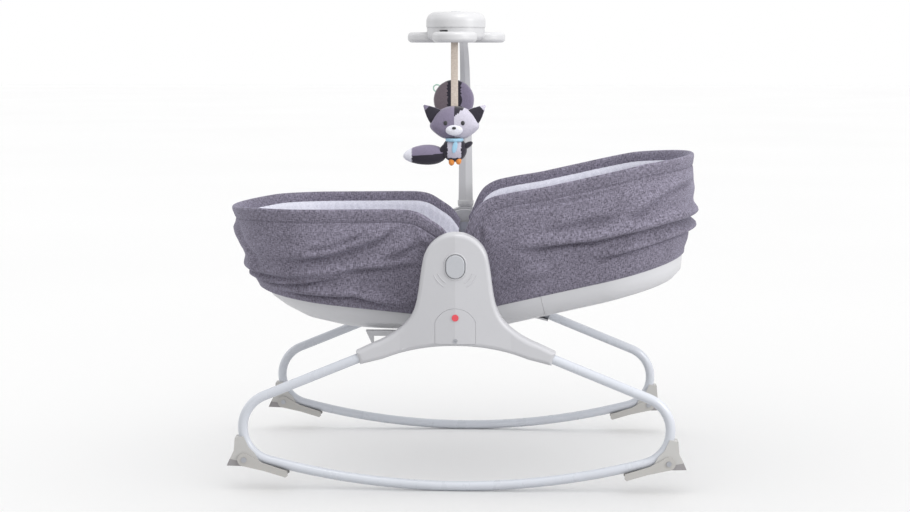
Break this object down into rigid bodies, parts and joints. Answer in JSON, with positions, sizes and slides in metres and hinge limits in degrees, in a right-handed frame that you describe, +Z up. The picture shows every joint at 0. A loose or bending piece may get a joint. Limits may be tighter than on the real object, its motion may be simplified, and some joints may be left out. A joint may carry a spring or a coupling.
{
  "type": "baby rocker and napper seat",
  "caption": "Infant rocking seat with a reclining two-part fabric tub, side hubs, bent tube rockers with lock levers and an overhead toy bar.",
  "frame": {"origin": "on the floor under the middle of the seat, below the recline axis", "axes": "+X towards the head end, +Y towards the baby's right side, +Z up"},
  "size_m": [0.8, 0.502, 0.7844],
  "materials": {
    "tube": "smooth powder coat, pale blue-white",
    "shell_plastic": "fine satin moulded plastic, very pale grey",
    "button_plastic": "satin, cool pale grey",
    "badge": "plain red disc",
    "steel": "zinc plated",
    "foot_plastic": "matte beige grey",
    "toe_rubber": "matte moulded rubber",
    "board": "pressed board",
    "melange_fabric": "grey-purple melange weave",
    "lining_fabric": "soft pale lilac jersey over wadding",
    "webbing": "woven webbing",
    "buckle_plastic": "satin moulded plastic",
    "dark_plastic": "dark moulded plastic",
    "ribbon": "beige grosgrain ribbon",
    "plush": "short pile plush in two greys"
  },
  "bodies": {
    "base": {"left_rocker_tube": "tube", "right_rocker_tube": "tube", "left_side_cover": "shell_plastic", "right_side_cover": "shell_plastic", "left_side_liner": "shell_plastic", "right_side_liner": "shell_plastic", "access_panels": "shell_plastic", "foot_base_shell": "shell_plastic", "centre_drum": "shell_plastic", "carry_brackets": "shell_plastic", "toy_bar_socket": "shell_plastic", "vibration_housing": "shell_plastic", "battery_door": "shell_plastic", "badges": "badge", "button_springs": "steel", "hub_axles": "steel", "cover_screws": "steel", "sleeve_screws": "steel", "lever_pins": "steel", "cross_bars": "steel", "foot_rim_wire": "steel", "vibration_motor": "steel", "batteries": "steel", "foot_left_bracket": "foot_plastic", "foot_right_bracket": "foot_plastic", "head_left_bracket": "foot_plastic", "head_right_bracket": "foot_plastic", "rubber_toes": "toe_rubber", "foot_seat_board": "board", "foot_fabric": "melange_fabric", "foot_pad": "lining_fabric", "harness_straps": "webbing", "buckle_body": "buckle_plastic", "buckle_tongues": "buckle_plastic"},
    "backrest": {"back_base_shell": "shell_plastic", "back_hinge_cover": "shell_plastic", "back_seat_board": "board", "back_pad": "lining_fabric", "back_fabric": "melange_fabric", "back_rim_wire": "steel", "head_cushion": "lining_fabric", "back_plates": "steel"},
    "left_release": {"left_hub_button": "button_plastic"},
    "right_release": {"right_hub_button": "button_plastic"},
    "foot_left_lever": {"foot_left_lock_lever": "foot_plastic"},
    "foot_right_lever": {"foot_right_lock_lever": "foot_plastic"},
    "head_left_lever": {"head_left_lock_lever": "foot_plastic"},
    "head_right_lever": {"head_right_lock_lever": "foot_plastic"},
    "toy_bar": {"toy_stalk": "shell_plastic", "mobile_base": "shell_plastic", "mobile_dome": "shell_plastic", "music_unit": "dark_plastic"},
    "music_button": {"mobile_button": "button_plastic"},
    "volume_switch": {"mobile_switch": "dark_plastic"},
    "fox": {"fox_ribbon": "ribbon", "fox_toy": "plush"},
    "round_plush": {"round_ribbon": "ribbon", "round_toy": "plush"},
    "buckle_release": {"buckle_button": "buckle_plastic"},
    "motor_weight": {"eccentric_weight": "steel"}
  },
  "joints": [
    {"name": "backrest_recline", "type": "hinge", "parent": "base", "child": "backrest", "pos_m": [0, 0, 0.373], "axis": [0, -1, 0], "range_deg": [-13, 25]},
    {"name": "left_release_press", "type": "slide", "parent": "base", "child": "left_release", "axis": [0, 1, 0], "range_m": [0, 0.003], "stiffness_N_per_m": 500},
    {"name": "right_release_press", "type": "slide", "parent": "base", "child": "right_release", "axis": [0, -1, 0], "range_m": [0, 0.003], "stiffness_N_per_m": 500},
    {"name": "foot_left_lever_turn", "type": "hinge", "parent": "base", "child": "foot_left_lever", "pos_m": [-0.347, -0.23, 0.0514], "axis": [0, 1, 0], "range_deg": [0, 21]},
    {"name": "foot_right_lever_turn", "type": "hinge", "parent": "base", "child": "foot_right_lever", "pos_m": [-0.347, 0.23, 0.0514], "axis": [0, 1, 0], "range_deg": [0, 21]},
    {"name": "head_left_lever_turn", "type": "hinge", "parent": "base", "child": "head_left_lever", "pos_m": [0.347, -0.23, 0.0514], "axis": [0, -1, 0], "range_deg": [0, 21]},
    {"name": "head_right_lever_turn", "type": "hinge", "parent": "base", "child": "head_right_lever", "pos_m": [0.347, 0.23, 0.0514], "axis": [0, -1, 0], "range_deg": [0, 21]},
    {"name": "toy_bar_swivel", "type": "hinge", "parent": "base", "child": "toy_bar", "pos_m": [0, 0.232, 0.43], "axis": [0, 0, 1], "range_deg": [-90, 30]},
    {"name": "music_button_press", "type": "slide", "parent": "toy_bar", "child": "music_button", "axis": [0, 0, -1], "range_m": [0, 0.002], "stiffness_N_per_m": 400},
    {"name": "volume_switch_slide", "type": "slide", "parent": "toy_bar", "child": "volume_switch", "axis": [1, 0, 0], "range_m": [0, 0.005]},
    {"name": "fox_swing", "type": "hinge", "parent": "toy_bar", "child": "fox", "pos_m": [-0.009, -0.057, 0.733], "axis": [0, 1, 0], "range_deg": [-20, 20]},
    {"name": "round_plush_swing", "type": "hinge", "parent": "toy_bar", "child": "round_plush", "pos_m": [-0.009, 0.012, 0.7343], "axis": [1, 0, 0], "range_deg": [-12, 12]},
    {"name": "buckle_press", "type": "slide", "parent": "base", "child": "buckle_release", "axis": [-0.1045, 0, -0.9945], "range_m": [0, 0.0025], "stiffness_N_per_m": 400},
    {"name": "motor_weight_spin", "type": "hinge", "parent": "base", "child": "motor_weight", "pos_m": [-0.13, 0.018, 0.266], "axis": [1, 0, 0], "continuous": true}
  ]
}
